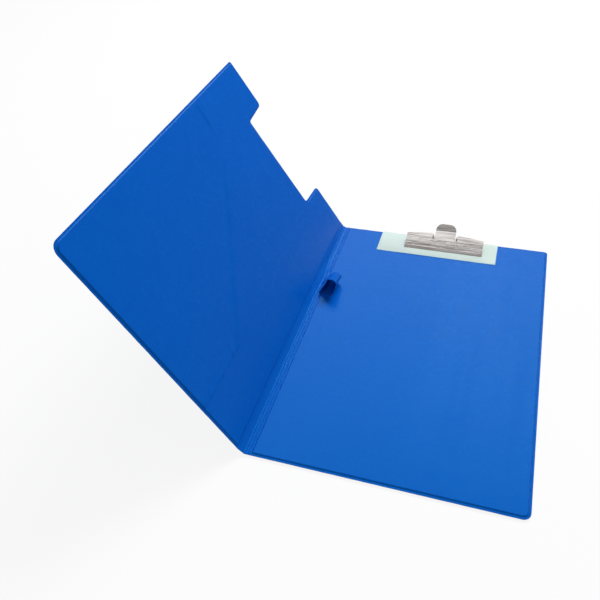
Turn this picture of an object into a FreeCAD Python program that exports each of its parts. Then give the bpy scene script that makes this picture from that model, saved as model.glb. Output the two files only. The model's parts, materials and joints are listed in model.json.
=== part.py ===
import FreeCAD, Part
import math
import os

# A foldover clipboard, in millimetres. The board lies flat, its back on the desk at z = 0. X runs from
# the spine to the free edge, Y from the bottom edge to the clip. The origin is on the board's back face,
# at the middle of the board. The cover stands half open, as it does when it is put down after reading.
V = FreeCAD.Vector

# Panels: one size for the board and the cover
panel_width = 230.0
panel_height = 340.0
greyboard_thickness = 2.0
sheet_thickness = 0.3
rim_width = 1.5
bevel_width = 1.5
board_clip_corner_radius = 4.0
board_foot_corner_radius = 6.5
cover_clip_corner_radius = 3.0
cover_foot_corner_radius = 9.0

# Spine: two welded fold lines and the strip between them
spine_width = 10.0
seam_radius = 0.5
fold_clearance = 0.06
spine_bulge = 0.5
cover_lift_degrees = 58.9

# Cut-out in the cover, round the clip
notch_mouth_width = 116.0
notch_floor_width = 111.0
notch_depth = 36.0
notch_outer_corner_radius = 5.0
notch_inner_corner_radius = 3.5

# Slanted pocket inside the cover
pocket_thickness = 0.25
pocket_top_height = 242.0
pocket_spine_margin = 50.2
pocket_side_height = 78.0
pocket_level_width = 48.7
pocket_shoulder_radius = 70.0
pocket_corner_radius = 6.0

# Pen loop beside the spine
loop_wall = 0.4
loop_start_height = 215.0
loop_length = 22.0
loop_reach = 13.6
loop_mouth_height = 7.2
loop_far_height = 6.3
loop_crease_radius = 0.9
loop_bow = 1.0
loop_fold_gap = 1.6

# Backing card under the clip
card_width = 133.0
card_depth = 36.0
card_thickness = 0.3
card_edge_gap = 0.8
card_offset = -5.3

# Clip: places across the board are measured from its own middle
clip_offset = 2.0
clip_width = 87.0
clip_sheet = 0.8
lip_to_edge = 26.0
lip_height = 2.6
lip_lean = 3.2
bead_radius = 2.0
jaw_plate_run = 12.0
jaw_plate_rise = 2.6
wing_run = 7.0
wing_rise = 4.2
wing_end_drop = 3.4
crease_radius = 1.6
tooth_pitch = 1.8
tooth_depth = 0.6
jaw_card_gap = 0.05

# Thumb tab
tab_width = 23.0
tab_root_run = 3.85
tab_overlap = 2.3
tab_shelf_run = 7.4
tab_shelf_rise = 3.0
tab_thumb_run = 4.3
tab_thumb_rise = 6.6
tab_bend_radius = 1.1
tab_corner_radius = 7.5

# Base plate, ears and pivot
base_width = 81.0
base_front_gap = 5.2
base_rear_gap = 0.6
base_corner_radius = 2.0
pivot_to_edge = 6.0
pivot_height = 4.0
pin_radius = 1.2
pin_running_fit = 0.05
pin_head_radius = 1.9
pin_head_thickness = 0.7
ear_spacing = 26.0
ear_foot_width = 5.2
ear_top_width = 3.0
ear_height = 8.0
lug_radius = 2.3
lug_front_run = 3.6
lug_rear_run = 2.1
lug_side_gap = 0.25
slot_side_gap = 0.3
slot_front_gap = 0.8

# Torsion spring on the pin
spring_wire_radius = 0.45
spring_radius = 2.0
spring_pitch = 1.4
spring_turns = 8
spring_leg_gap = 0.08
spring_leg_inset = 0.6

# Rivets
rivet_spacing = 56.0
rivet_to_edge = 13.5
rivet_shank_radius = 1.5
rivet_hole_clearance = 0.1
rivet_head_radius = 2.8
rivet_head_height = 0.9
rivet_tail_radius = 2.4
rivet_tail_height = 0.5
rivet_tail_gap = 0.05
rivet_pocket_clearance = 0.2
washer_radius = 3.2
washer_thickness = 0.4

# Worked out from the sizes above
panel_thickness = greyboard_thickness + 2 * sheet_thickness
mid_height = panel_thickness / 2
inner_face = panel_thickness
sheet_seat = panel_thickness - sheet_thickness
board_edge = panel_height / 2
board_spine_edge = -panel_width / 2
seam_reach = seam_radius + fold_clearance
flat_inset = rim_width + bevel_width
first_fold = V(board_spine_edge, 0, mid_height)
second_fold = V(board_spine_edge - spine_width, 0, mid_height)
half_lift = cover_lift_degrees / 2
card_top = inner_face + card_thickness
base_top = card_top + clip_sheet
tail_top = sheet_thickness + rivet_tail_height
washer_top = tail_top + washer_thickness
pivot = V(clip_offset, board_edge - pivot_to_edge, card_top + pivot_height)

os.makedirs("parts", exist_ok=True)


def save(name, shape):
    solids = shape.Solids
    result = solids[0] if len(solids) == 1 else Part.makeCompound(solids)
    assert result.isValid() and solids, name
    result.exportStep("parts/" + name + ".step")
    box = result.BoundBox
    print(f"{name}: {len(solids)} solid(s), {result.Volume:.1f} mm3, x {box.XMin:.2f} {box.XMax:.2f}, "
          f"y {box.YMin:.2f} {box.YMax:.2f}, z {box.ZMin:.2f} {box.ZMax:.2f}")


def rounded_wire(points, radii, z=0.0):
    """A closed wire in the plane z through the points, each corner rounded to its own radius."""
    edges = []
    ends = []
    count = len(points)
    for i, (point, radius) in enumerate(zip(points, radii)):
        corner = V(point[0], point[1], z)
        to_last = V(*points[i - 1], z) - corner
        to_next = V(*points[(i + 1) % count], z) - corner
        to_last.normalize()
        to_next.normalize()
        if radius <= 0:
            ends.append((corner, corner, None))
            continue
        half_angle = to_last.getAngle(to_next) / 2
        reach = radius / math.tan(half_angle)
        bisector = to_last + to_next
        bisector.normalize()
        crown = corner + bisector * (radius / math.sin(half_angle) - radius)
        ends.append((corner + to_last * reach, corner + to_next * reach, crown))
    for i, (start, end, crown) in enumerate(ends):
        if crown is not None:
            edges.append(Part.Arc(start, crown, end).toShape())
        edges.append(Part.makeLine(end, ends[(i + 1) % count][0]))
    return Part.Wire(edges)


def inset_corners(points, radii, distance):
    """The same outline moved inwards: a convex corner gets a smaller radius, a hollow one a larger."""
    count = len(points)
    moved = []
    new_radii = []
    for i, point in enumerate(points):
        last = points[i - 1]
        following = points[(i + 1) % count]
        first = V(point[0] - last[0], point[1] - last[1], 0)
        second = V(following[0] - point[0], following[1] - point[1], 0)
        first.normalize()
        second.normalize()
        turn = first.x * second.y - first.y * second.x
        first_in = V(-first.y, first.x, 0)
        second_in = V(-second.y, second.x, 0)
        share = distance / (1 + first_in.dot(second_in))
        moved.append((point[0] + share * (first_in.x + second_in.x),
                      point[1] + share * (first_in.y + second_in.y)))
        if radii[i] <= 0:
            new_radii.append(0)
        elif turn > 0:
            new_radii.append(max(radii[i] - distance, 0.3))
        else:
            new_radii.append(radii[i] + distance)
    return moved, new_radii


def plate(points, radii, inset, low, high):
    """A flat plate of the outline, inset by a distance, between two heights."""
    face = Part.Face(rounded_wire(*inset_corners(points, radii, inset), low))
    return face.extrude(V(0, 0, high - low))


def bevelled_block(points, radii, low_inset, low, high_inset, high):
    """A block of the outline whose sides slope in from the low height to the high one."""
    bottom = rounded_wire(*inset_corners(points, radii, low_inset), low)
    top = rounded_wire(*inset_corners(points, radii, high_inset), high)
    return Part.makeLoft([bottom, top], True, True)


def drawn_sheet(points, radii):
    """The upper PVC sheet: flat over the greyboard, sloping down to a rim at the panel's middle height."""
    skin = bevelled_block(points, radii, rim_width, mid_height, flat_inset, inner_face)
    hollow = bevelled_block(points, radii, rim_width + sheet_thickness, mid_height,
                            flat_inset, sheet_seat)
    rim = plate(points, radii, 0, mid_height, mid_height + sheet_thickness)
    body = skin.fuse(rim).removeSplitter()
    return body.cut(hollow)


def upside_down(shape):
    """The lower sheet is the upper one turned over through the panel's middle height."""
    return shape.mirror(V(0, 0, mid_height), V(0, 0, 1))


def greyboard(points, radii):
    return plate(points, radii, flat_inset + sheet_thickness, sheet_thickness, sheet_seat)


def rod(radius, start, end):
    return Part.makeCylinder(radius, (end - start).Length, start, end - start)


def lifted(shape):
    """Turns the open flat cover by the half lift about each of the two fold lines."""
    turned = shape.copy()
    turned.rotate(second_fold, V(0, 1, 0), half_lift)
    turned.rotate(first_fold, V(0, 1, 0), half_lift)
    return turned


def first_fold_lift(shape):
    turned = shape.copy()
    turned.rotate(first_fold, V(0, 1, 0), half_lift)
    return turned


# Board panel
def board_outline():
    left = board_spine_edge + seam_reach
    right = panel_width / 2
    points = [(left, -board_edge), (right, -board_edge), (right, board_edge), (left, board_edge)]
    return points, [0, board_foot_corner_radius, board_clip_corner_radius, 0]


def rivet_places():
    y = board_edge - rivet_to_edge
    return [V(clip_offset + side * rivet_spacing / 2, y, 0) for side in (-1, 1)]


def rivet_holes(low, high):
    radius = rivet_shank_radius + rivet_hole_clearance
    return [rod(radius, place + V(0, 0, low), place + V(0, 0, high)) for place in rivet_places()]


def rivet_pockets():
    radius = washer_radius + rivet_pocket_clearance
    roof = washer_top + rivet_hole_clearance
    return [rod(radius, place + V(0, 0, sheet_thickness), place + V(0, 0, roof)) for place in rivet_places()]


board_sheet = drawn_sheet(*board_outline())
save("board_inner_sheet", board_sheet.cut(Part.makeCompound(rivet_holes(mid_height, inner_face + 1))))
save("board_outer_sheet", upside_down(board_sheet))
rivet_room = Part.makeCompound([hole.fuse(pocket) for hole, pocket
                                in zip(rivet_holes(0, inner_face), rivet_pockets())])
save("board_stiffener", greyboard(*board_outline()).cut(rivet_room))


# Cover panel, drawn open and flat, then lifted
cover_left = second_fold.x - panel_width
cover_right = second_fold.x - seam_reach
notch_middle = second_fold.x - panel_width / 2


def cover_outline():
    notch_floor = board_edge - notch_depth
    points = [
        (cover_left, -board_edge), (cover_right, -board_edge), (cover_right, board_edge),
        (notch_middle + notch_mouth_width / 2, board_edge),
        (notch_middle + notch_floor_width / 2, notch_floor),
        (notch_middle - notch_floor_width / 2, notch_floor),
        (notch_middle - notch_mouth_width / 2, board_edge),
        (cover_left, board_edge),
    ]
    radii = [cover_foot_corner_radius, 0, 0, notch_outer_corner_radius, notch_inner_corner_radius,
             notch_inner_corner_radius, notch_outer_corner_radius, cover_clip_corner_radius]
    return points, radii


cover_sheet = drawn_sheet(*cover_outline())
save("cover_inner_sheet", lifted(cover_sheet))
save("cover_outer_sheet", lifted(upside_down(cover_sheet)))
save("cover_stiffener", lifted(greyboard(*cover_outline())))


def cover_pocket():
    """A sheet with a level top, a round shoulder, a slanted edge and an upright side towards the spine."""
    free_side = cover_left + flat_inset
    foot = -board_edge + flat_inset
    spine_side = second_fold.x - pocket_spine_margin
    top = -board_edge + pocket_top_height
    side_top = -board_edge + pocket_side_height
    points = [(free_side, foot), (spine_side, foot), (spine_side, side_top),
              (free_side + pocket_level_width, top), (free_side, top)]
    radii = [cover_foot_corner_radius - flat_inset, 0, pocket_corner_radius, pocket_shoulder_radius, 0]
    face = Part.Face(rounded_wire(points, radii, inner_face))
    return face.extrude(V(0, 0, pocket_thickness))


save("cover_pocket", lifted(cover_pocket()))


# Spine strip between the fold lines
def spine_strip():
    """The upper film of the spine: a shallow arch from seam to seam."""
    left = V(second_fold.x + seam_reach, -board_edge, mid_height)
    right = V(first_fold.x - seam_reach, -board_edge, mid_height)
    crown = (left + right) * 0.5 + V(0, 0, spine_bulge)
    film = V(0, 0, sheet_thickness)
    section = Part.Wire([
        Part.Arc(left, crown, right).toShape(),
        Part.makeLine(right, right + film),
        Part.Arc(right + film, crown + film, left + film).toShape(),
        Part.makeLine(left + film, left),
    ])
    return Part.Face(section).extrude(V(0, panel_height, 0))


upper_strip = spine_strip()
save("spine_inner_strip", first_fold_lift(upper_strip))
save("spine_outer_strip", first_fold_lift(upside_down(upper_strip)))
seams = []
for fold, towards_strip in ((first_fold, -1), (second_fold, 1)):
    seam = rod(seam_radius, fold + V(0, -board_edge, 0), fold + V(0, board_edge, 0))
    web = Part.makeBox(seam_reach, panel_height, 2 * sheet_thickness,
                       fold + V(-seam_reach if towards_strip < 0 else 0, -board_edge, -sheet_thickness))
    seams.append(first_fold_lift(seam.fuse(web).removeSplitter()))
save("spine_weld_seams", Part.makeCompound(seams))


# Pen loop
def loop_section(y, height, grow):
    """A closed section of the sleeve: flat below, round at the spine side, falling to a tight crease."""
    seat = inner_face - grow
    top = inner_face + height + grow
    left = first_fold.x + loop_fold_gap - grow
    right = left + loop_reach + 2 * grow
    side_radius = (top - seat) / 2
    crease = loop_crease_radius + grow
    foot = V(left + side_radius, y, seat)
    side = V(left, y, seat + side_radius)
    crown = V(left + side_radius, y, top)
    crease_low = V(right - crease, y, seat)
    crease_side = V(right, y, seat + crease)
    crease_high = V(right - crease, y, seat + 2 * crease)
    bow = (crown + crease_high) * 0.5 + V(0, 0, loop_bow)
    return Part.Wire([
        Part.makeLine(foot, crease_low),
        Part.Arc(crease_low, crease_side, crease_high).toShape(),
        Part.Arc(crease_high, bow, crown).toShape(),
        Part.Arc(crown, side, foot).toShape(),
    ])


def pen_loop():
    start = -board_edge + loop_start_height
    end = start + loop_length
    outer = Part.makeLoft([loop_section(start, loop_mouth_height, 0), loop_section(end, loop_far_height, 0)],
                          True, True)
    inner = Part.makeLoft([loop_section(start, loop_mouth_height, -loop_wall),
                           loop_section(end, loop_far_height, -loop_wall)], True, True)
    return outer.cut(inner)


save("pen_loop", pen_loop())


# Backing card
def backing_card():
    left = card_offset - card_width / 2
    far = board_edge - card_edge_gap
    card = Part.makeBox(card_width, card_depth, card_thickness, V(left, far - card_depth, inner_face))
    return card.cut(Part.makeCompound(rivet_holes(inner_face - 1, card_top + 1)))


save("backing_card", backing_card())


# Base plate
def ear(x_low):
    """An upright ear with the pin's hole, narrower at its rounded top."""
    foot = base_top - clip_sheet / 2
    top = base_top + ear_height
    half_foot = ear_foot_width / 2
    half_top = ear_top_width / 2
    y = pivot.y
    outline = Part.Wire([
        Part.makeLine(V(x_low, y - half_foot, foot), V(x_low, y + half_foot, foot)),
        Part.makeLine(V(x_low, y + half_foot, foot), V(x_low, y + half_top, top - half_top)),
        Part.Arc(V(x_low, y + half_top, top - half_top), V(x_low, y, top),
                 V(x_low, y - half_top, top - half_top)).toShape(),
        Part.makeLine(V(x_low, y - half_top, top - half_top), V(x_low, y - half_foot, foot)),
    ])
    return Part.Face(outline).extrude(V(clip_sheet, 0, 0))


ear_lows = [clip_offset + ear_spacing / 2, clip_offset - ear_spacing / 2 - clip_sheet]


def base_plate():
    front = board_edge - lip_to_edge + base_front_gap
    rear = board_edge - base_rear_gap
    left = clip_offset - base_width / 2
    corners = [(left, front), (left + base_width, front), (left + base_width, rear), (left, rear)]
    base = Part.Face(rounded_wire(corners, [base_corner_radius] * 4, card_top)).extrude(V(0, 0, clip_sheet))
    base = base.multiFuse([ear(x) for x in ear_lows]).removeSplitter()
    span = ear_spacing + 2 * clip_sheet
    bore = rod(pin_radius, pivot - V(span, 0, 0), pivot + V(span, 0, 0))
    return base.cut(bore.multiFuse(rivet_holes(card_top - 1, base_top + 1)))


save("clip_base_plate", base_plate())


def pivot_pin():
    reach = ear_spacing / 2 + clip_sheet
    shaft = rod(pin_radius, pivot - V(reach, 0, 0), pivot + V(reach, 0, 0))
    heads = [rod(pin_head_radius, pivot + V(side * reach, 0, 0),
                 pivot + V(side * (reach + pin_head_thickness), 0, 0)) for side in (-1, 1)]
    return shaft.multiFuse(heads).removeSplitter()


save("clip_pivot_pin", pivot_pin())


def rivet(place):
    """A domed head on the base plate, a shank, and a flat clenched tail sunk in the greyboard."""
    dome_radius = (rivet_head_radius ** 2 + rivet_head_height ** 2) / (2 * rivet_head_height)
    seat = place + V(0, 0, base_top)
    crown = seat + V(0, 0, rivet_head_height)
    foot = place + V(0, 0, sheet_thickness + rivet_tail_gap)
    dome = Part.makeSphere(dome_radius, crown - V(0, 0, dome_radius))
    head = dome.common(rod(dome_radius, seat, crown))
    shank = rod(rivet_shank_radius, foot, seat)
    tail = rod(rivet_tail_radius, foot, place + V(0, 0, tail_top))
    return head.multiFuse([shank, tail]).removeSplitter()


def washer(place):
    """A flat ring that the rivet's tail is clenched against."""
    low = place + V(0, 0, tail_top)
    high = place + V(0, 0, washer_top)
    return rod(washer_radius, low, high).cut(rod(rivet_shank_radius + rivet_hole_clearance, low, high))


save("clip_rivets", Part.makeCompound([rivet(place) for place in rivet_places()]))
save("rivet_washers", Part.makeCompound([washer(place) for place in rivet_places()]))


# Clip jaw: points of its upper face in the YZ plane, from the lip to the thumb tab
lip_foot = V(0, board_edge - lip_to_edge, card_top + jaw_card_gap)
bead_point = lip_foot + V(0, lip_lean, lip_height)
crease_point = bead_point + V(0, jaw_plate_run, jaw_plate_rise)
wing_top = crease_point + V(0, wing_run, wing_rise)
wing_slope = wing_rise / wing_run
shelf_start = crease_point + V(0, tab_root_run, tab_root_run * wing_slope)
shelf_end = shelf_start + V(0, tab_shelf_run, tab_shelf_rise)
thumb_top = shelf_end + V(0, tab_thumb_run, tab_thumb_rise)
jaw_low_side = clip_offset - clip_width / 2
tab_low_side = clip_offset - tab_width / 2
cut_reach = clip_width


def heading(start, end):
    return (end - start).normalize()


def face_normal(direction):
    """Square to a direction in the YZ plane, on its upper side."""
    return V(0, -direction.z, direction.y)


def bent_strip(path, radii, low_side, width):
    """A pressed strip of the clip's sheet: the path is its upper face, rounded at each bend."""
    headings = [heading(start, end) for start, end in zip(path, path[1:])]
    before = headings[:1] + headings
    after = headings + headings[-1:]
    lower = []
    upper_radii = []
    lower_radii = []
    for point, radius, come, leave in zip(path, radii, before, after):
        down = face_normal(come) + face_normal(leave)
        lower.append(point - down * (clip_sheet / (1 + come.dot(leave))))
        tight = max(radius - clip_sheet, clip_sheet / 4)
        bends_down = come.y * leave.z < come.z * leave.y
        upper_radii.append(0 if come == leave else radius if bends_down else tight)
        lower_radii.append(0 if come == leave else tight if bends_down else radius)
    points = [(point.y, point.z) for point in path + lower[::-1]]
    face = Part.Face(rounded_wire(points, upper_radii + lower_radii[::-1]))
    # the outline was drawn as X and Y: a third of a turn about the cube's diagonal makes them Y and Z
    face.rotate(V(0, 0, 0), V(1, 1, 1), 120)
    face.translate(V(low_side, 0, 0))
    return face.extrude(V(width, 0, 0))


def through(outline, normal):
    """A block of the outline that reaches far to both sides of it."""
    face = Part.Face(Part.Wire(outline))
    face.translate(normal * -cut_reach)
    return face.extrude(normal * (2 * cut_reach))


def side_points(point):
    """The same point at both sides of the jaw, a sheet's thickness past them."""
    margin = V(clip_sheet, 0, 0)
    return point + V(jaw_low_side, 0, 0) - margin, point + V(jaw_low_side + clip_width, 0, 0) + margin


def wing_crown():
    """What is kept of the jaw: the wings' top edge falls away in an arc to both ends."""
    along = heading(crease_point, wing_top)
    left, right = side_points(wing_top - along * wing_end_drop)
    peak = wing_top + V(clip_offset, 0, 0)
    deep = along * cut_reach
    sides = Part.makePolygon([right, right - deep, left - deep, left])
    return through([Part.Arc(left, peak, right).toShape()] + sides.Edges, face_normal(along))


def lip_teeth():
    """The nicks between the teeth along the lip's lower edge."""
    count = int(clip_width // tooth_pitch)
    start = clip_offset - count * tooth_pitch / 2
    front = lip_foot - V(0, lip_lean, 0)
    nicks = []
    for i in range(count):
        left = front + V(start + i * tooth_pitch, 0, 0)
        tip = left + V(tooth_pitch / 2, 0, tooth_depth)
        nick = Part.Face(Part.makePolygon([left, left + V(tooth_pitch, 0, 0), tip, left]))
        nicks.append(nick.extrude(V(0, 2 * lip_lean, 0)))
    return nicks


def lip_underside():
    """What the lip's square corner would have below the card's face."""
    left, right = side_points(lip_foot - V(0, lip_lean, clip_sheet))
    return Part.makeBox(right.x - left.x, 2 * lip_lean, clip_sheet, left)


def tab_opening():
    """The opening behind the plate: room for the tab, and two slots in front of the ears beside it."""
    half = ear_spacing / 2 + clip_sheet + slot_side_gap
    slot_front = crease_point.y + slot_front_gap
    tab_front = shelf_start.y + tab_bend_radius / 2
    low = crease_point.z - clip_sheet - wing_rise
    blocks = [Part.makeBox(2 * half, cut_reach, cut_reach, V(clip_offset - half, tab_front, low))]
    for left in (clip_offset - half, clip_offset + tab_width / 2):
        blocks.append(Part.makeBox(half - tab_width / 2, cut_reach, cut_reach, V(left, slot_front, low)))
    return blocks


def thumb_outline():
    """What is kept of the tab: its thumb end has round corners."""
    along = heading(shelf_end, thumb_top)
    left = thumb_top + V(tab_low_side, 0, 0)
    right = left + V(tab_width, 0, 0)
    deep = along * cut_reach
    back = along * tab_corner_radius
    inward = V(tab_corner_radius, 0, 0)
    share = 1 - math.sqrt(0.5)
    return through([
        Part.makeLine(left - deep, left - back),
        Part.Arc(left - back, left + (inward - back) * share, left + inward).toShape(),
        Part.makeLine(left + inward, right - inward),
        Part.Arc(right - inward, right - (inward + back) * share, right - back).toShape(),
        Part.makeLine(right - back, right - deep),
        Part.makeLine(right - deep, left - deep),
    ], face_normal(along))


def thumb_tab():
    root = shelf_start - heading(crease_point, shelf_start) * tab_overlap
    bends = [0, tab_bend_radius, tab_bend_radius, 0]
    return bent_strip([root, shelf_start, shelf_end, thumb_top], bends, tab_low_side, tab_width).common(
        thumb_outline())


def lug(low_side):
    """A lug under the jaw plate that turns on the pin."""
    centre = V(0, pivot.y, pivot.z)
    sunk = V(0, 0, clip_sheet / 2)
    front = crease_point - heading(bead_point, crease_point) * lug_front_run - sunk
    rear = crease_point + heading(crease_point, wing_top) * lug_rear_run - sunk
    beside = face_normal(heading(crease_point, centre)) * lug_radius
    corners = [front, crease_point - sunk, rear, centre + beside, centre - beside]
    arm = Part.Face(Part.makePolygon(corners + corners[:1]))
    arm.translate(V(low_side, 0, 0))
    eye = rod(lug_radius, centre + V(low_side, 0, 0), centre + V(low_side + clip_sheet, 0, 0))
    return eye.fuse(arm.extrude(V(clip_sheet, 0, 0)))


def clip_jaw():
    """Plate, teeth, wings, tab and lugs are one pressed piece of sheet."""
    plate_path = [lip_foot, bead_point, crease_point, wing_top]
    jaw = bent_strip(plate_path, [0, bead_radius, crease_radius, 0], jaw_low_side, clip_width)
    jaw = jaw.common(wing_crown())
    jaw = jaw.cut(Part.makeCompound([lip_underside()] + lip_teeth()))
    jaw = jaw.cut(tab_opening())
    lug_side = ear_spacing / 2 - lug_side_gap
    lugs = [lug(clip_offset - lug_side), lug(clip_offset + lug_side - clip_sheet)]
    jaw = jaw.multiFuse([thumb_tab()] + lugs).removeSplitter()
    bore = rod(pin_radius + pin_running_fit, pivot - V(ear_spacing, 0, 0), pivot + V(ear_spacing, 0, 0))
    return jaw.cut(bore)


save("clip_jaw", clip_jaw())


# Torsion spring
def helix_place(angle):
    half_length = spring_pitch * spring_turns / 2
    along = spring_pitch * angle / (2 * math.pi) - half_length
    return pivot + V(along, spring_radius * math.cos(angle), spring_radius * math.sin(angle))


def helix_heading(angle):
    return V(spring_pitch / (2 * math.pi), -spring_radius * math.sin(angle),
             spring_radius * math.cos(angle)).normalize()


def arc_to(start, corner, end):
    """The arc that leaves start towards corner and reaches end from it."""
    middle = (start + end) * 0.5
    half_chord = (end - start).Length / 2
    rise = corner - middle
    sag = half_chord * math.tan(math.atan2(rise.Length, half_chord) / 2)
    return Part.Arc(start, middle + rise.normalize() * sag, end).toShape()


def biarc(start, start_heading, end, end_heading):
    gap = end - start
    headings = start_heading + end_heading
    spread = 2 * (1 - start_heading.dot(end_heading))
    reach = (-gap.dot(headings) + math.sqrt(gap.dot(headings) ** 2 + spread * gap.dot(gap))) / spread
    first = start + start_heading * reach
    second = end - end_heading * reach
    joint = (first + second) * 0.5
    return [arc_to(start, first, joint), arc_to(joint, second, end)]


def leg_angle(target_y, target_z, side):
    """The angle on the coil where a straight leg leaves it to reach a point beside it."""
    y = target_y - pivot.y
    z = target_z - pivot.z
    distance = math.hypot(y, z)
    return math.atan2(z, y) + side * math.acos(spring_radius / distance)


def leg_length(target_y, target_z):
    distance = math.hypot(target_y - pivot.y, target_z - pivot.z)
    return math.sqrt(distance ** 2 - spring_radius ** 2)


def torsion_spring():
    """Eight turns on the pin: one leg rests on the base plate, the other lifts the tab's shelf."""
    leg_end_y = board_edge - base_rear_gap - spring_leg_inset
    low_target = base_top + spring_wire_radius + spring_leg_gap
    shelf_slope = tab_shelf_rise / tab_shelf_run
    shelf_under = shelf_start.z + (leg_end_y - shelf_start.y) * shelf_slope
    below_shelf = clip_sheet + spring_wire_radius + spring_leg_gap
    high_target = shelf_under - below_shelf * math.hypot(1, shelf_slope)
    start_angle = leg_angle(leg_end_y, high_target, 1)
    end_angle = leg_angle(leg_end_y, low_target, -1) + 2 * math.pi * spring_turns
    start_leg = leg_length(leg_end_y, high_target)
    end_leg = leg_length(leg_end_y, low_target)
    steps = 4 * spring_turns + 2
    step = (end_angle - start_angle) / steps
    angles = [start_angle + step * i for i in range(steps + 1)]
    path = [Part.makeLine(helix_place(angles[0]) - helix_heading(angles[0]) * start_leg,
                          helix_place(angles[0]))]
    for angle in angles[:-1]:
        path += biarc(helix_place(angle), helix_heading(angle),
                      helix_place(angle + step), helix_heading(angle + step))
    last = helix_place(angles[-1])
    path.append(Part.makeLine(last, last + helix_heading(angles[-1]) * end_leg))
    line = Part.Wire(path)
    start = path[0].Vertexes[0].Point
    section = Part.Wire(Part.makeCircle(spring_wire_radius, start, helix_heading(angles[0])))
    sweep = Part.BRepOffsetAPI.MakePipeShell(line)
    sweep.add(section)
    sweep.build()
    sweep.makeSolid()
    spring = sweep.shape()
    per_turn = 48
    count = per_turn * spring_turns
    places = [helix_place(start_angle + (end_angle - start_angle) * i / count) for i in range(count + 1)]
    least = min((a - b).Length for i, a in enumerate(places) for b in places[i + per_turn // 2:])
    print(f"spring: least gap between turns {least - 2 * spring_wire_radius:.2f} mm, volume "
          f"{spring.Volume:.2f} against {math.pi * spring_wire_radius ** 2 * line.Length:.2f} mm3")
    return spring


save("clip_spring", torsion_spring())
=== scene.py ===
import json
import math
import bmesh
import bpy
from mathutils import Matrix, Vector, noise

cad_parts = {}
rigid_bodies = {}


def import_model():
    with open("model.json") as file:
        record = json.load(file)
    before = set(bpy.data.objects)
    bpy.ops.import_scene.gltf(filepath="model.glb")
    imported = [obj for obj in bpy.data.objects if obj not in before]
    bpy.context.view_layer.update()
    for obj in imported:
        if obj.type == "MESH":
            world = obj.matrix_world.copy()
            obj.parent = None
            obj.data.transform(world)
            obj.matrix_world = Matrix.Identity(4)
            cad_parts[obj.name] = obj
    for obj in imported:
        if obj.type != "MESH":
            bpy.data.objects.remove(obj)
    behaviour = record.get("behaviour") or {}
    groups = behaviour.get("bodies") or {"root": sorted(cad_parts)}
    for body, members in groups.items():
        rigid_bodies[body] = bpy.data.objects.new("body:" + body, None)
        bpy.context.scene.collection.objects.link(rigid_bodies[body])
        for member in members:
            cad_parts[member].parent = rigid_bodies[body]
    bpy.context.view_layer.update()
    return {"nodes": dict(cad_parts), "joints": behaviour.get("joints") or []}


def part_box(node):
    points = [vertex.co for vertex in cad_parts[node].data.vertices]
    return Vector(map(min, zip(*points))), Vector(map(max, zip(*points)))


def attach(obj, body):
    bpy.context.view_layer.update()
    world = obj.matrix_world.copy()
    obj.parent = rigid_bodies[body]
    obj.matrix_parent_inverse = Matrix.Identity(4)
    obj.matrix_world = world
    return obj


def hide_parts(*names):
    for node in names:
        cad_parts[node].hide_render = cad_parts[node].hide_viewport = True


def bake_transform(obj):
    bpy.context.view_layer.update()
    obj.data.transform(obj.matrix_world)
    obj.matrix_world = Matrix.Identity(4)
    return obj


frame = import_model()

# Camera. It stands before the foot of the board, a little to the right, and looks down on the open
# folder. Its place was solved from the straight edges of the two panels.
photo_side = 600
focal_length_pixels = 663.3
optical_centre = (294.7, 278.0)
film_gate = 36.0
eye = (0.0620, -0.4698, 0.4740)
camera_turn = (50.40, 4.29, 18.08)

bpy.ops.object.camera_add(location=eye, rotation=[math.radians(angle) for angle in camera_turn])
camera = bpy.context.object
camera.data.sensor_width = film_gate
camera.data.lens = film_gate * focal_length_pixels / photo_side
camera.data.shift_x = (photo_side / 2 - optical_centre[0]) / photo_side
camera.data.shift_y = (optical_centre[1] - photo_side / 2) / photo_side
bpy.context.scene.camera = camera


# Studio. A pale floor, a soft light from all round and one broad lamp beyond the clip. The backdrop
# is white. The gloss mirrors a dimmer room: a bright window beyond the clip, a pale roof, dark walls.
air_level = 0.36
room_stops = [(0.0, 0.0), (0.35, 0.06), (0.62, 0.15), (0.80, 0.25), (0.92, 0.50), (0.985, 1.30)]
window_level = 1.5
near_wall_level = 0.45
backdrop_in_gloss = 0.02
lamp_place = (0.25, 1.43, 1.50)
lamp_size = (1.0, 0.7)
lamp_power = 40.0
floor_half = 4.0
floor_drop = 0.0003
floor_colour = (0.92, 0.92, 0.92, 1)
floor_far_colour = (0.08, 0.08, 0.08, 1)
floor_near = 0.12
floor_far = 0.40
floor_glow = 0.88


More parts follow.
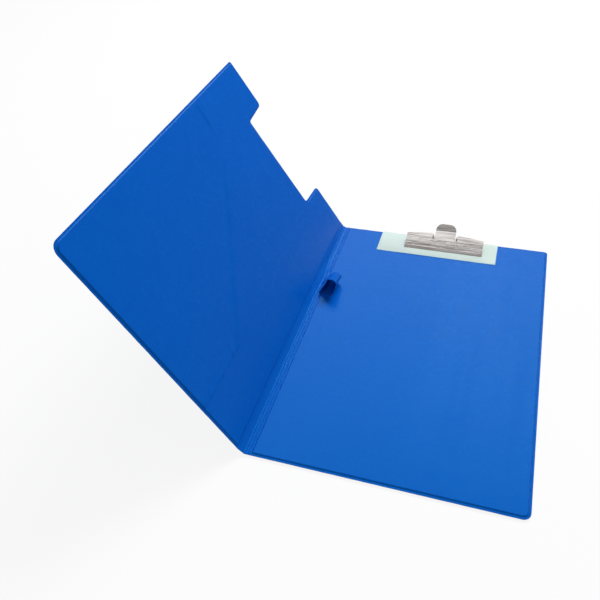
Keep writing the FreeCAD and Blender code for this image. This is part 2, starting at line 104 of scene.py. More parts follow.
class Shade:
    """A socket of a node tree that takes Python's arithmetic, so that shader maths reads as maths."""

    def __init__(self, tree, socket=None):
        self.tree = tree
        self.socket = socket

    def node(self, kind, settings=None, inputs=None, output=0):
        """Adds a node: first its settings, then the values or links of its sockets."""
        node = self.tree.nodes.new("ShaderNode" + kind)
        for name, setting in (settings or {}).items():
            if name == "stops":
                ramp = node.color_ramp.elements
                for element, (place, level) in zip([ramp[0], ramp[1]], setting[:1] + setting[-1:]):
                    element.position = place
                    element.color = (level, level, level, 1)
                for place, level in setting[1:-1]:
                    ramp.new(place).color = (level, level, level, 1)
            else:
                setattr(node, name, setting)
        for name, source in (inputs or {}).items():
            if isinstance(source, Shade):
                self.tree.links.new(source.socket, node.inputs[name])
            else:
                node.inputs[name].default_value = source
        return Shade(self.tree, node.outputs[output] if len(node.outputs) else None)

    def maths(self, operation, first, second=0.0):
        return self.node("Math", {"operation": operation}, {0: first, 1: second})

    def __add__(self, other):
        return self.maths("ADD", self, other)

    def __sub__(self, other):
        return self.maths("SUBTRACT", self, other)

    def __rsub__(self, other):
        return self.maths("SUBTRACT", other, self)

    def __mul__(self, other):
        return self.maths("MULTIPLY", self, other)

    def __truediv__(self, other):
        return self.maths("DIVIDE", self, other)

    __radd__ = __add__
    __rmul__ = __mul__

    def between(self, low, high):
        """Runs smoothly from 0 at the low value to 1 at the high one."""
        return self.node("MapRange", {"interpolation_type": "SMOOTHSTEP"},
                         {"Value": self, "From Min": low, "From Max": high})

    def blend(self, first, second):
        """The first colour where this value is 0, the second where it is 1."""
        return self.node("Mix", {"data_type": "RGBA"}, {0: self, 6: first, 7: second}, 2)

    def noise(self, place, scale, detail=3.0):
        return self.node("TexNoise", inputs={"Vector": place, "Scale": scale, "Detail": detail})


def new_shade(owner):
    """Empties a material's or a world's tree, and starts shader maths in it."""
    owner.use_nodes = True
    owner.node_tree.nodes.clear()
    return Shade(owner.node_tree)


def sees_backdrop(shade, in_gloss):
    """1 for a ray that shows the backdrop itself: seen, through something clear, or partly mirrored."""
    camera_ray = shade.node("LightPath", output="Is Camera Ray")
    clear_ray = shade.node("LightPath", output="Is Transmission Ray")
    glossy_ray = shade.node("LightPath", output="Is Glossy Ray")
    return shade.maths("MINIMUM", camera_ray + clear_ray + glossy_ray * in_gloss, 1.0)


def studio_air():
    world = bpy.data.worlds.new("studio")
    shade = new_shade(world)
    direction = shade.node("TexCoord", output="Generated")
    x, y, z = [shade.node("SeparateXYZ", inputs={"Vector": direction}, output=axis) for axis in "XYZ"]
    window = z.between(0.42, 0.56) * (1 - z.between(0.845, 0.875)) * y.between(0.20, 0.45)
    window = window * (1 - x.between(0.12, 0.32))
    near_wall = 1 - y.between(-0.80, -0.30)
    room = shade.node("ValToRGB", {"stops": room_stops}, {"Fac": z})
    room = room + window * window_level + near_wall * near_wall_level
    glossy_ray = shade.node("LightPath", output="Is Glossy Ray")
    surroundings = glossy_ray.blend((air_level, air_level, air_level, 1), room)
    colour = sees_backdrop(shade, backdrop_in_gloss).blend(surroundings, (1, 1, 1, 1))
    background = shade.node("Background", inputs={"Color": colour})
    shade.node("OutputWorld", inputs={"Surface": background})
    bpy.context.scene.world = world


def floor_paint():
    """White to the camera, with the object's shadow. In gloss it fades away from the object."""
    material = bpy.data.materials.new("studio_floor")
    shade = new_shade(material)
    place = shade.node("TexCoord", output="Object")
    distance = shade.node("VectorMath", {"operation": "LENGTH"}, {0: place}, "Value")
    glossy_ray = shade.node("LightPath", output="Is Glossy Ray")
    faded = glossy_ray * distance.between(floor_near, floor_far)
    matt = shade.node("BsdfDiffuse", inputs={"Color": faded.blend(floor_colour, floor_far_colour)})
    glow = shade.node("Emission", inputs={"Color": (1, 1, 1, 1)})
    share = sees_backdrop(shade, 0.0) * floor_glow
    mixed = shade.node("MixShader", inputs={0: share, 1: matt, 2: glow})
    shade.node("OutputMaterial", inputs={"Surface": mixed})
    return material


studio_air()
bpy.ops.mesh.primitive_plane_add(size=2 * floor_half, location=(0, 0, -floor_drop))
floor = bpy.context.object
floor.name = "studio_floor"
floor.data.materials.append(floor_paint())
bpy.ops.object.light_add(type="AREA", location=lamp_place)
lamp = bpy.context.object
lamp.data.shape = "RECTANGLE"
lamp.data.size, lamp.data.size_y = lamp_size
lamp.data.energy = lamp_power
lamp.visible_glossy = False
lamp.rotation_euler = (-Vector(lamp_place)).to_track_quat("-Z", "Y").to_euler()
bpy.context.scene.view_settings.view_transform = "Standard"


# Board. Two films of blue PVC are welded together round a sheet of greyboard. The upper film is
# drawn down over the greyboard's edge to the welded rim, which the heat has left a little wavy.
spine_fold, cover_fold = [Vector(joint["pos_m"]) for joint in frame["joints"][:2]]
board_low, board_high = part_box("board_outer_sheet")
board_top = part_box("board_inner_sheet")[1].z
half_thickness = board_top - spine_fold.z
film_thickness = 0.0003
rim_width = 0.0015
slope_width = 0.00135
slope_steps = 6
flat_ring = 0.0001
outline_step = 0.005
flat_step = 0.012
wave_size = 0.05
wave_height = 0.00016
ripple_size = 0.009
ripple_height = 0.00045
spine_calm = 0.004
board_foot_radius = 0.0065
board_clip_radius = 0.004


def pick(kind, test):
    """Selects the vertices, edges or faces of the piece being edited that pass a test."""
    bpy.ops.mesh.select_mode(type=kind)
    bpy.ops.mesh.select_all(action="DESELECT")
    shape = bmesh.from_edit_mesh(bpy.context.object.data)
    for element in {"VERT": shape.verts, "EDGE": shape.edges, "FACE": shape.faces}[kind]:
        if test(element):
            element.select_set(True)
    bmesh.update_edit_mesh(bpy.context.object.data)


def flat_face(name, low, high):
    """A flat face between two corners, left in edit mode."""
    bpy.ops.object.select_all(action="DESELECT")
    bpy.ops.mesh.primitive_plane_add(size=1, location=(0, 0, 0))
    piece = bpy.context.object
    piece.name = name
    bpy.ops.object.mode_set(mode="EDIT")
    bpy.ops.transform.resize(value=(high[0] - low[0], high[1] - low[1], 1))
    bpy.ops.transform.translate(value=((low[0] + high[0]) / 2, (low[1] + high[1]) / 2, low[2]))
    return piece


def round_corner(x, y, radius, corner_angle=90.0, segments=7):
    """Rounds the outline's corner at a place."""
    near = 1e-5
    pick("VERT", lambda vertex: abs(vertex.co.x - x) < near and abs(vertex.co.y - y) < near)
    reach = radius / math.tan(math.radians(corner_angle) / 2)
    bpy.ops.mesh.bevel(offset_type="ABSOLUTE", offset=reach, segments=segments, affect="VERTICES")


def divide_outline(step):
    """Divides the outline's long edges, so that the rim can wave."""
    shape = bmesh.from_edit_mesh(bpy.context.object.data)
    long_edges = [((edge.verts[0].co + edge.verts[1].co) / 2, round(edge.calc_length() / step))
                  for edge in shape.edges if edge.calc_length() > 1.5 * step]
    for middle, count in long_edges:
        pick("EDGE", lambda edge: ((edge.verts[0].co + edge.verts[1].co) / 2 - middle).length < 1e-6)
        bpy.ops.mesh.subdivide(number_cuts=count - 1)


def draw_over_board(rise):
    """Insets the face ring by ring: the rim, the slope over the greyboard's edge, then the flat."""
    bpy.ops.mesh.select_mode(type="FACE")
    bpy.ops.mesh.select_all(action="SELECT")
    bpy.ops.mesh.inset(thickness=rim_width, depth=0)
    for i in range(slope_steps):
        climb = (math.cos(math.pi * i / slope_steps) - math.cos(math.pi * (i + 1) / slope_steps)) / 2
        bpy.ops.mesh.inset(thickness=slope_width / slope_steps, depth=rise * climb)
    bpy.ops.mesh.inset(thickness=flat_ring, depth=0)


def slice_selected(low, high, steps):
    """Cuts what is selected into rows and columns."""
    for axis in (0, 1):
        count = round((high[axis] - low[axis]) / steps[axis])
        for i in range(1, count):
            place = [0, 0, 0]
            normal = [0, 0, 0]
            place[axis] = low[axis] + (high[axis] - low[axis]) * i / count
            normal[axis] = 1
            bpy.ops.mesh.bisect(plane_co=place, plane_no=normal)
            bpy.ops.mesh.select_more()


def clouds(name, size):
    texture = bpy.data.textures.new(name, "CLOUDS")
    texture.noise_scale = size
    return texture


def displace(piece, group, texture, height):
    modifier = piece.modifiers.new("waves", "DISPLACE")
    modifier.texture = texture
    modifier.strength = height
    modifier.direction = "Z"
    modifier.vertex_group = group


def group_where(piece, name, weigh):
    """A vertex group with a weight from each vertex's place."""
    group = piece.vertex_groups.new(name=name)
    for vertex in piece.data.vertices:
        group.add([vertex.index], min(1.0, max(0.0, weigh(vertex.co))), "REPLACE")


def make_active(piece):
    bpy.ops.object.select_all(action="DESELECT")
    piece.select_set(True)
    bpy.context.view_layer.objects.active = piece


def thicken(piece, thickness, offset):
    """Gives a sheet its thickness, and applies that and the waves before it."""
    film = piece.modifiers.new("film", "SOLIDIFY")
    film.thickness = thickness
    film.offset = offset
    make_active(piece)
    for modifier in list(piece.modifiers):
        bpy.ops.object.modifier_apply(modifier=modifier.name)


def smooth(piece, degrees=35.0):
    make_active(piece)
    bpy.ops.object.shade_smooth_by_angle(angle=math.radians(degrees))


film_waves = clouds("film_waves", wave_size)
rim_ripples = clouds("rim_ripples", ripple_size)


def welded_film(piece, low, high, upper, spine_side):
    """Turns the outline in edit mode into one film: its rim lies at its weld, its flat stands proud."""
    divide_outline(outline_step)
    rise = half_thickness - film_thickness
    draw_over_board(rise)
    pick("FACE", lambda face: face.calc_center_median().z > low[2] + rise - 1e-5 and len(face.verts) > 4)
    slice_selected(low, high, (flat_step, flat_step))
    if not upper:
        bpy.ops.mesh.select_all(action="SELECT")
        bpy.ops.transform.resize(value=(1, 1, -1), center_override=(0, 0, low[2] - film_thickness))
        bpy.ops.mesh.flip_normals()
    bpy.ops.object.mode_set(mode="OBJECT")
    rim_level = low[2] if upper else low[2] - 2 * film_thickness
    group_where(piece, "rim", lambda place: min(1 - abs(place.z - rim_level) / (0.6 * rise),
                                                abs(place.x - spine_side) / spine_calm - 0.5))
    displace(piece, "rim", rim_ripples, ripple_height)
    if upper:
        group_where(piece, "flat", lambda place: abs(place.z - rim_level) / (0.4 * rise) - 1.4)
        displace(piece, "flat", film_waves, wave_height)
    thicken(piece, film_thickness, -1)
    smooth(piece)


def pvc(name, colour, deep_colour):
    """Sealed PVC film: even blue, faintly clouded, with a fine grain and soft traces of handling."""
    material = bpy.data.materials.new(name)
    shade = new_shade(material)
    place = shade.node("TexCoord", output="Object")
    cloud = shade.noise(place, 9.0)
    mottle = shade.noise(place, 70.0, 4.0)
    grain = shade.noise(place, 1400.0, 2.0)
    tone = cloud * 0.7 + mottle * 0.3
    paint = tone.between(0.3, 0.7).blend(deep_colour, colour)
    roughness = 0.22 + mottle * 0.10
    relief = grain * 0.35 + mottle * 0.2
    bump = shade.node("Bump", inputs={"Height": relief, "Strength": 0.2, "Distance": 0.0002})
    body = shade.node("BsdfPrincipled", inputs={
        "Base Color": paint, "Roughness": roughness, "Normal": bump, "Specular Tint": (0.10, 0.70, 1.0, 1)})
    shade.node("OutputMaterial", inputs={"Surface": body})
    return material


film_blue = pvc("blue_pvc", (0.0008, 0.110, 0.550, 1), (0.0008, 0.104, 0.530, 1))


def greyboard(name):
    """Pressed grey pulp with darker and paler fibres."""
    material = bpy.data.materials.new(name)
    shade = new_shade(material)
    place = shade.node("TexCoord", output="Object")
    fibres = shade.noise(place, 700.0, 5.0)
    paint = fibres.between(0.35, 0.7).blend((0.28, 0.26, 0.23, 1), (0.44, 0.41, 0.36, 1))
    bump = shade.node("Bump", inputs={"Height": fibres, "Strength": 0.5, "Distance": 0.0002})
    body = shade.node("BsdfPrincipled", inputs={"Base Color": paint, "Roughness": 0.9, "Normal": bump})
    shade.node("OutputMaterial", inputs={"Surface": body})
    return material


def repaint(node, material):
    """Gives a CAD node a finish of its own."""
    frame["nodes"][node].data.materials.clear()
    frame["nodes"][node].data.materials.append(material)


for side, upper in (("inner", True), ("outer", False)):
    low = (board_low.x, board_low.y, spine_fold.z + film_thickness)
    high = (board_high.x, board_high.y, spine_fold.z + film_thickness)
    film = flat_face("board_" + side + "_film", low, high)
    round_corner(high[0], low[1], board_foot_radius)
    round_corner(high[0], high[1], board_clip_radius)
    welded_film(film, low, high, upper, low[0])
    film.data.materials.append(film_blue)
    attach(film, "board")
    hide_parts("board_" + side + "_sheet")
grey = greyboard("greyboard")
repaint("board_stiffener", grey)


# Cover. The same welded films round their own greyboard, with a cut-out that clears the clip. It is
# made lying open and flat, measured from its fold line, and then lifted on that line.
cover_width = 0.230
film_gap = board_low.x - spine_fold.x
cover_lift = 2 * math.atan2(cover_fold.z - spine_fold.z, spine_fold.x - cover_fold.x)
cover_foot_radius = 0.009
cover_clip_radius = 0.003
notch_mouth = (-0.173, -0.057)
notch_floor = (-0.1705, -0.0595)
notch_depth = 0.036
notch_outer_radius = 0.005
notch_inner_radius = 0.0035


def cut_notch(top):
    """Cuts the opening for the clip out of the flat face, and rounds its corners."""
    floor_y = top - notch_depth
    bpy.ops.mesh.select_all(action="SELECT")
    bpy.ops.mesh.bisect(plane_co=(0, floor_y, 0), plane_no=(0, 1, 0))
    for mouth, corner in zip(notch_mouth, notch_floor):
        pick("FACE", lambda face: face.calc_center_median().y > floor_y)
        bpy.ops.mesh.bisect(plane_co=(corner, floor_y, 0), plane_no=(notch_depth, corner - mouth, 0))
    pick("FACE", lambda face: face.calc_center_median().y > floor_y
         and notch_floor[0] < face.calc_center_median().x < notch_floor[1])
    bpy.ops.mesh.delete(type="FACE")
    bpy.ops.mesh.select_all(action="SELECT")
    bpy.ops.mesh.dissolve_limited(angle_limit=math.radians(1))
    slant = math.degrees(math.atan2(notch_floor[0] - notch_mouth[0], notch_depth))
    for mouth, corner in zip(notch_mouth, notch_floor):
        round_corner(corner, floor_y, notch_inner_radius, 90 + slant)
        round_corner(mouth, top, notch_outer_radius, 90 + slant)


def lift_cover(piece):
    """Turns a piece made flat about the fold line, to where the cover stands."""
    piece.data.transform(Matrix.Translation(cover_fold) @ Matrix.Rotation(cover_lift, 4, "Y"))
    piece.data.update()


for side, upper in (("inner", True), ("outer", False)):
    low = (-cover_width, board_low.y, film_thickness)
    high = (-film_gap, board_high.y, film_thickness)
    film = flat_face("cover_" + side + "_film", low, high)
    cut_notch(high[1])
    round_corner(low[0], low[1], cover_foot_radius)
    round_corner(low[0], high[1], cover_clip_radius)
    welded_film(film, low, high, upper, high[0])
    lift_cover(film)
    film.data.materials.append(film_blue)
    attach(film, "cover")
    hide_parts("cover_" + side + "_sheet")
repaint("cover_stiffener", grey)


# Pocket. One thinner film lies inside the cover, welded to it along the free edge and the foot. Its
# mouth is a level stretch, a round shoulder and a long slant that falls to an upright side. The
# loose edge curls up a little, and the film has a few short creases.
pocket_free = -0.227
pocket_side = -0.0502
pocket_foot = board_low.y + 0.003
pocket_top = 0.072
pocket_side_top = -0.092
pocket_level_width = 0.0487
pocket_shoulder_radius = 0.070
pocket_corner_radius = 0.006
pocket_film = 0.00025
pocket_step = 0.002
pocket_shoulder = (pocket_free + pocket_level_width, pocket_top)
pocket_slack = 0.0004
weld_width = 0.003
curl_height = 0.0009
curl_width = 0.0022
crease_height = 0.0004
crease_width = 0.0017
creases = [((-0.062, -0.099), (-0.048, -0.106)), ((-0.058, -0.151), (-0.047, -0.154)),
           ((-0.196, -0.148), (-0.194, -0.152)), ((-0.199, -0.160), (-0.198, -0.165)),
           ((-0.176, -0.150), (-0.173, -0.154)), ((-0.090, -0.072), (-0.083, -0.090))]


def from_line(place, start, end):
    """How far a place lies from a line between two ends, and how far along it, from 0 to 1."""
    run = Vector(end) - Vector(start)
    share = min(1.0, max(0.0, (place - Vector(start)).dot(run) / run.length_squared))
    return (place - Vector(start) - run * share).length, share


def hump(distance, width):
    return math.exp(-(distance / width) ** 2)


def pocket_height(place):
    """How high the film stands over the cover: nothing at its welds, a curl at its mouth."""
    from_weld = min(place.x - pocket_free, place.y - pocket_foot) / weld_width
    height = pocket_slack * (0.6 + 0.4 * noise.noise(Vector((place.x, place.y, 0)) * 22))
    slant_gap, along = from_line(place, pocket_shoulder, (pocket_side, pocket_side_top))
    level_gap = from_line(place, (pocket_free, pocket_top), pocket_shoulder)[0]
    side_gap = from_line(place, (pocket_side, pocket_side_top), (pocket_side, pocket_foot))[0]
    curl = 0.75 + 0.8 * noise.noise(Vector((along * 9, 0, 0)))
    height += curl_height * max(0.0, curl) * hump(min(slant_gap, level_gap), curl_width)
    height += 0.5 * curl_height * hump(side_gap, curl_width)
    for start, end in creases:
        gap, share = from_line(place, start, end)
        height += crease_height * hump(gap, crease_width) * math.sin(math.pi * (0.1 + 0.8 * share))
    return height * min(1.0, max(0.0, from_weld))


def cover_pocket():
    low = (pocket_free, pocket_foot, half_thickness)
    high = (pocket_side, pocket_top, half_thickness)
    piece = flat_face("cover_pocket_film", low, high)
    run = pocket_side - pocket_shoulder[0]
    fall = pocket_top - pocket_side_top
    bpy.ops.mesh.select_all(action="SELECT")
    bpy.ops.mesh.bisect(plane_co=(*pocket_shoulder, 0), plane_no=(fall, run, 0), clear_outer=True)
    slant = math.degrees(math.atan2(fall, run))
    round_corner(pocket_side, pocket_side_top, pocket_corner_radius, 90 + slant)
    round_corner(*pocket_shoulder, pocket_shoulder_radius, 180 - slant, 16)
    round_corner(pocket_free, pocket_foot, cover_foot_radius - weld_width)
    bpy.ops.mesh.select_all(action="SELECT")
    slice_selected(low, high, (pocket_step, pocket_step))
    bpy.ops.object.mode_set(mode="OBJECT")
    for vertex in piece.data.vertices:
        vertex.co.z += pocket_height(vertex.co.xy)
    thicken(piece, pocket_film, 1)
    smooth(piece)
    lift_cover(piece)
    return piece


pocket = cover_pocket()
pocket.data.materials.append(film_blue)
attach(pocket, "cover")
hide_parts("cover_pocket")


# Spine. The inner and the outer film run on past each weld as a strip that bends at both folds. It
# sags: level beside the board, then steep to the cover, with a wavering ridge in the crease between.
# Each film is made as two halves that meet in the middle, and each half is shaped over one fold.
strip_width = (cover_fold - spine_fold).length
strip_along = (cover_fold - spine_fold).normalized()
cover_along = Matrix.Rotation(cover_lift, 3, "Y") @ Vector((-1, 0, 0))
strip_lap = film_gap + rim_width
strip_steps = (0.0004, 0.0025)
fold_bend = 0.0012
level_share = 0.9
crease_softness = 0.0006
ridge_height = 0.0007
ridge_width = 0.0006
ridge_low_place = 0.0034
ridge_high_place = 0.0047
ridge_loop_place = 0.0019
weld_ridge_height = 0.00035
weld_ridge_width = 0.0004
groove_place = 0.0009
groove_depth = 0.00035
loop_near_y, loop_far_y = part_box("pen_loop")[0].y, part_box("pen_loop")[1].y


def spine_line(run):
    """Place and upward direction on the line that runs board, spine, cover, from the board's fold."""
    if run < strip_width / 2:
        corner, before, after = spine_fold, Vector((1, 0, 0)), strip_along
    else:
        corner, before, after = cover_fold, -strip_along, cover_along
        run -= strip_width
    if abs(run) >= fold_bend:
        place = corner + (after if run > 0 else before) * abs(run)
        heading = after if run > 0 else -before
    else:
        share = (run + fold_bend) / (2 * fold_bend)
        place = corner + (before * (1 - share) ** 2 + after * share ** 2) * fold_bend
        heading = (after * share - before * (1 - share)).normalized()
    return place, Vector((0, 1, 0)).cross(heading)


def ridge_place(y):
    """The ridge lies near the middle of the strip, and comes over to the board at the pen loop."""
    at_loop = hump(y - loop_far_y - 0.004, 0.018) if y > loop_far_y else 1.0 - min(1.0, (loop_far_y - y) / 0.03)
    plain = ridge_high_place if y > loop_far_y else ridge_low_place
    waver = 0.0004 * noise.noise(Vector((y * 30, 2, 0)))
    return plain + (ridge_loop_place - plain) * at_loop + waver


def sag(run, y):
    """How far the strip hangs below the straight line between its folds."""
    if not 0 < run < strip_width:
        return 0.0
    crease = ridge_place(y)
    level = level_share * math.tan(cover_lift / 2)
    from_board = level * run
    from_cover = level * crease / (strip_width - crease) * (strip_width - run)
    apart = math.hypot(from_board - from_cover, crease_softness)
    return max(0.0, (from_board + from_cover - apart) / 2)


def inner_height(run, y):
    """Height of the inner film's upper face over the spine's line."""
    height = film_thickness * 1.1 - sag(run, y)
    roughened = 1 + 0.35 * noise.noise(Vector((y * 110, 5, 0)))
    height += ridge_height * hump(run - ridge_place(y), ridge_width) * roughened
    height += weld_ridge_height * hump(run + film_gap + weld_ridge_width, weld_ridge_width) * roughened
    height += weld_ridge_height * hump(run - strip_width - film_gap, weld_ridge_width)
    return height - groove_depth * hump(run - groove_place, weld_ridge_width)


def outer_height(run, y):
    """Height of the outer film's outer face over the spine's line."""
    return -film_thickness * 1.1 - sag(run, y) - 0.0002 * hump(run - ridge_place(y), 2 * ridge_width)


def spine_half(name, start, end, inner):
    """One film of the strip from one run to another, laid along the spine's line."""
    low = (start, board_low.y, 0)
    high = (end, board_high.y, 0)
    piece = flat_face(name, low, high)
    bpy.ops.mesh.select_all(action="SELECT")
    slice_selected(low, high, strip_steps)
    bpy.ops.object.mode_set(mode="OBJECT")
    for vertex in piece.data.vertices:
        run, y = vertex.co.x, vertex.co.y
        place, upward = spine_line(run)
        height = inner_height(run, y) if inner else outer_height(run, y)
        vertex.co = place + upward * height + Vector((0, y, 0))
    if inner:
        piece.data.flip_normals()
    thicken(piece, film_thickness * 0.9, -1)
    smooth(piece, 60)
    return piece


middle = strip_width / 2
for side, inner in (("inner", True), ("outer", False)):
    board_half = spine_half("spine_" + side + "_board_half", -strip_lap, middle, inner)
    cover_half = spine_half("spine_" + side + "_cover_half", middle, strip_width + strip_lap, inner)
    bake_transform(board_half)
    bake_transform(cover_half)
    for half in (board_half, cover_half):
        half.data.materials.append(film_blue)
        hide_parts("spine_" + side + "_strip", "spine_weld_seams")


# Pen loop. A strap of the same film stands on the board in a loop, with both ends caught in the weld
# beside the spine. It leans away from the spine. The real strap lies down under the cover when the
# folder shuts; this piece keeps its standing shape.
strap_section = [(-0.5, 0.6), (3.5, 8.0), (7.5, 15.5), (9.8, 20.6), (10.6, 21.6), (15.0, 22.4), (18.6, 19.4),
                 (19.2, 17.8), (18.3, 12.0), (16.0, 6.0), (14.2, 2.2), (13.0, 1.9), (8.0, 1.8), (0.3, 1.5)]
strap_thickness = 0.0004
strap_far_height = 0.62
strap_far_lift = 0.0085
strap_under_layer = 0.0026
strap_root_width = 0.003
strap_step = 0.0015


def pen_strap():
    """The section's curve is drawn out along the spine, and its far end is set lower."""
    bpy.ops.object.select_all(action="DESELECT")
    bpy.ops.curve.primitive_nurbs_path_add(location=(0, 0, 0))
    piece = bpy.context.object
    piece.name = "pen_loop_strap"
    piece.data.splines.clear()
    spline = piece.data.splines.new("NURBS")
    spline.points.add(len(strap_section) - 1)
    for point, (x, z) in zip(spline.points, strap_section):
        point.co = (x / 1000, z / 1000, 0, 1)
    spline.order_u = 3
    spline.use_endpoint_u = True
    spline.resolution_u = 5
    piece.data.extrude = (loop_far_y - loop_near_y) / 2
    bpy.ops.object.convert(target="MESH")
    piece = bpy.context.object
    for vertex in piece.data.vertices:
        x, z, y = vertex.co
        vertex.co = (x, y, z)
    bpy.ops.object.mode_set(mode="EDIT")
    bpy.ops.mesh.select_all(action="SELECT")
    bpy.ops.mesh.remove_doubles(threshold=1e-6)
    half = (loop_far_y - loop_near_y) / 2
    count = round(2 * half / strap_step)
    for i in range(1, count):
        bpy.ops.mesh.select_all(action="SELECT")
        bpy.ops.mesh.bisect(plane_co=(0, -half + 2 * half * i / count, 0), plane_no=(0, 1, 0))
    bpy.ops.object.mode_set(mode="OBJECT")
    foot = half_thickness + film_thickness
    for vertex in piece.data.vertices:
        share = max(0.0, (vertex.co.y + half) / (2 * half))
        drop = 1 - (1 - strap_far_height) * share ** 1.1
        if vertex.co.z > foot:
            vertex.co.z = foot + (vertex.co.z - foot) * drop
        if vertex.co.z < strap_under_layer and vertex.co.x > strap_root_width:
            vertex.co.z += strap_far_lift * share ** 1.5 * min(1.0, vertex.co.x / strap_root_width - 1)
        waver = 0.0004 * noise.noise(vertex.co * 90)
        vertex.co += spine_fold + Vector((waver, (loop_near_y + loop_far_y) / 2, 0))
    thicken(piece, strap_thickness, 0)
    bpy.ops.object.mode_set(mode="EDIT")
    bpy.ops.mesh.select_all(action="SELECT")
    bpy.ops.mesh.normals_make_consistent(inside=False)
    bpy.ops.object.mode_set(mode="OBJECT")
    smooth(piece)
    return piece


strap = pen_strap()
strap.data.materials.append(film_blue)
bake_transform(strap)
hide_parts("pen_loop")


# Backing card. A pale green card lies under the clip and is riveted with it. A narrow band along
# its front edge is tinted cyan, and it lies on the film in slow waves.
card_low, card_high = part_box("backing_card")
card_steps = (0.004, 0.004)
card_wave_height = 0.00025
card_edge_band = 0.0016


def card_paint():
    material = bpy.data.materials.new("pale_card")
    shade = new_shade(material)
    place = shade.node("TexCoord", output="Object")
    y = shade.node("SeparateXYZ", inputs={"Vector": place}, output="Y")
    fibres = shade.noise(place, 900.0, 5.0)
    cloud = shade.noise(place, 40.0, 2.0)
    tone = fibres * 0.5 + cloud * 0.5
    paint = tone.between(0.3, 0.7).blend((0.62, 0.745, 0.70, 1), (0.67, 0.79, 0.745, 1))
    # A cyan tint in a narrow band along the card's front edge, ragged with the fibres.
    front_edge_band = 1 - (y + fibres * 0.0006).between(card_low.y + 0.0003, card_low.y + card_edge_band)
    edged = (front_edge_band * 0.75).blend(paint, (0.42, 0.76, 0.88, 1))
    bump = shade.node("Bump", inputs={"Height": fibres, "Strength": 0.3, "Distance": 0.0001})
    body = shade.node("BsdfPrincipled", inputs={"Base Color": edged, "Roughness": 0.6, "Normal": bump,
                                                "Specular IOR Level": 0.3})
    shade.node("OutputMaterial", inputs={"Surface": body})
    return material


card = flat_face("card_sheet", card_low, card_high)
bpy.ops.mesh.select_all(action="SELECT")
slice_selected(card_low, card_high, card_steps)
bpy.ops.object.mode_set(mode="OBJECT")
for vertex in card.data.vertices:
    to_edge = min(vertex.co.y - card_low.y, vertex.co.x - card_low.x, card_high.x - vertex.co.x)
    lifted = max(0.0, 0.4 + noise.noise(vertex.co * 45)) * hump(to_edge, 0.012)
    vertex.co.z += card_wave_height * lifted
thicken(card, card_high.z - card_low.z, 1)
edges = card.modifiers.new("worn_edges", "BEVEL")
edges.width = 0.00006
edges.segments = 2
edges.angle_limit = math.radians(60)
bpy.ops.object.modifier_apply(modifier=edges.name)
smooth(card)
card.data.materials.append(card_paint())
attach(card, "board")
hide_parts("backing_card")


# Clip. Nickel-plated spring steel: a base plate with two ears, riveted through the board, and a
# pressed jaw that turns on a pin against a wound spring.
def nickel(name, colour, pale_reflection_colour, roughness):
    """Bright plating over rolled steel. Streaks run along the clip: in the bump and roughness they stand for
    the rolling texture, and in the colour they are painted reflections, from the dark colour to the pale one.
    """
    material = bpy.data.materials.new(name)
    shade = new_shade(material)
    place = shade.node("TexCoord", output="Object")
    rolled = shade.node("Mapping", inputs={"Vector": place, "Scale": (25, 900, 900)})
    rolling_relief_and_painted_reflections = shade.noise(rolled, 1.0, 4.0)
    wave = shade.noise(place, 120.0, 2.0)
    # Painted reflections: along the streaks the colour runs from the dark colour to the pale one, as a mirrored
    # room would make it.
    paint = rolling_relief_and_painted_reflections.between(0.35, 0.6).blend(colour, pale_reflection_colour)
    bump = shade.node("Bump", inputs={"Height": wave + rolling_relief_and_painted_reflections * 0.5, "Strength": 0.4, "Distance": 0.0003})
    body = shade.node("BsdfPrincipled", inputs={"Base Color": paint, "Metallic": 1.0,
                                                "Roughness": roughness + rolling_relief_and_painted_reflections * 0.1, "Normal": bump})
    shade.node("OutputMaterial", inputs={"Surface": body})
    return material


# The plating's two colours are the dark and the pale painted reflection streaks; the spring steel's are
# fainter.
plating = nickel("nickel_steel", (0.34, 0.31, 0.29, 1), (0.66, 0.64, 0.63, 1), 0.08)
for node in ("clip_base_plate", "clip_jaw", "clip_pivot_pin", "clip_rivets"):
    repaint(node, plating)
wire_steel = nickel("spring_steel", (0.40, 0.40, 0.40, 1), (0.55, 0.55, 0.54, 1), 0.25)
repaint("rivet_washers", wire_steel)


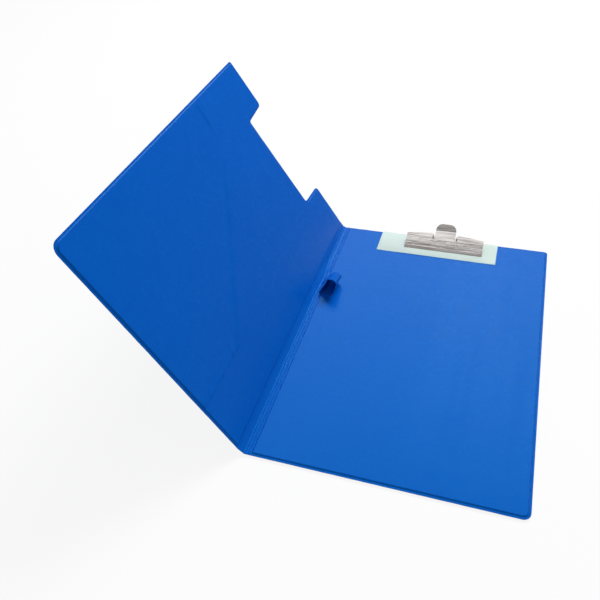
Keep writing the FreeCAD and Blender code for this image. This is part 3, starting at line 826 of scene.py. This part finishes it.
# Torsion spring. Round wire wound on the pin in close turns. One straight leg bears on the base
# plate, the other under the jaw, and both point to the clip's rear.
jaw_pivot = Vector(frame["joints"][2]["pos_m"])
wire_radius = 0.00045
coil_radius = 0.0020
coil_pitch = 0.0014
coil_turns = 8
points_each_turn = 12
leg_end_y = 0.1688
low_leg_z = 0.00423
high_leg_z = 0.011356


def tangent_angle(y, z, side):
    """Where on the coil a straight leg to a place leaves it."""
    distance = math.hypot(y, z)
    return math.atan2(z, y) + side * math.acos(coil_radius / distance)


def coil_place(angle):
    along = coil_pitch * angle / (2 * math.pi) - coil_pitch * coil_turns / 2
    return jaw_pivot + Vector((along, coil_radius * math.cos(angle), coil_radius * math.sin(angle)))


def torsion_spring():
    start = tangent_angle(leg_end_y - jaw_pivot.y, high_leg_z - jaw_pivot.z, 1)
    end = tangent_angle(leg_end_y - jaw_pivot.y, low_leg_z - jaw_pivot.z, -1) + 2 * math.pi * coil_turns
    count = points_each_turn * coil_turns
    route = [coil_place(start + (end - start) * i / count) for i in range(count + 1)]
    route.insert(0, Vector((route[0].x, leg_end_y, high_leg_z)))
    route.append(Vector((route[-1].x, leg_end_y, low_leg_z)))
    bpy.ops.object.select_all(action="DESELECT")
    bpy.ops.curve.primitive_nurbs_path_add(location=(0, 0, 0))
    piece = bpy.context.object
    piece.name = "clip_spring_wire"
    piece.data.splines.clear()
    spline = piece.data.splines.new("POLY")
    spline.points.add(len(route) - 1)
    for point, place in zip(spline.points, route):
        point.co = (*place, 1)
    piece.data.bevel_depth = wire_radius
    piece.data.bevel_resolution = 3
    piece.data.use_fill_caps = True
    bpy.ops.object.convert(target="MESH")
    piece = bpy.context.object
    bpy.ops.object.mode_set(mode="EDIT")
    bpy.ops.mesh.select_all(action="SELECT")
    bpy.ops.mesh.remove_doubles(threshold=1e-6)
    bpy.ops.mesh.normals_make_consistent(inside=False)
    bpy.ops.object.mode_set(mode="OBJECT")
    smooth(piece, 40)
    return piece


spring = torsion_spring()
spring.data.materials.append(wire_steel)
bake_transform(spring)
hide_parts("clip_spring")
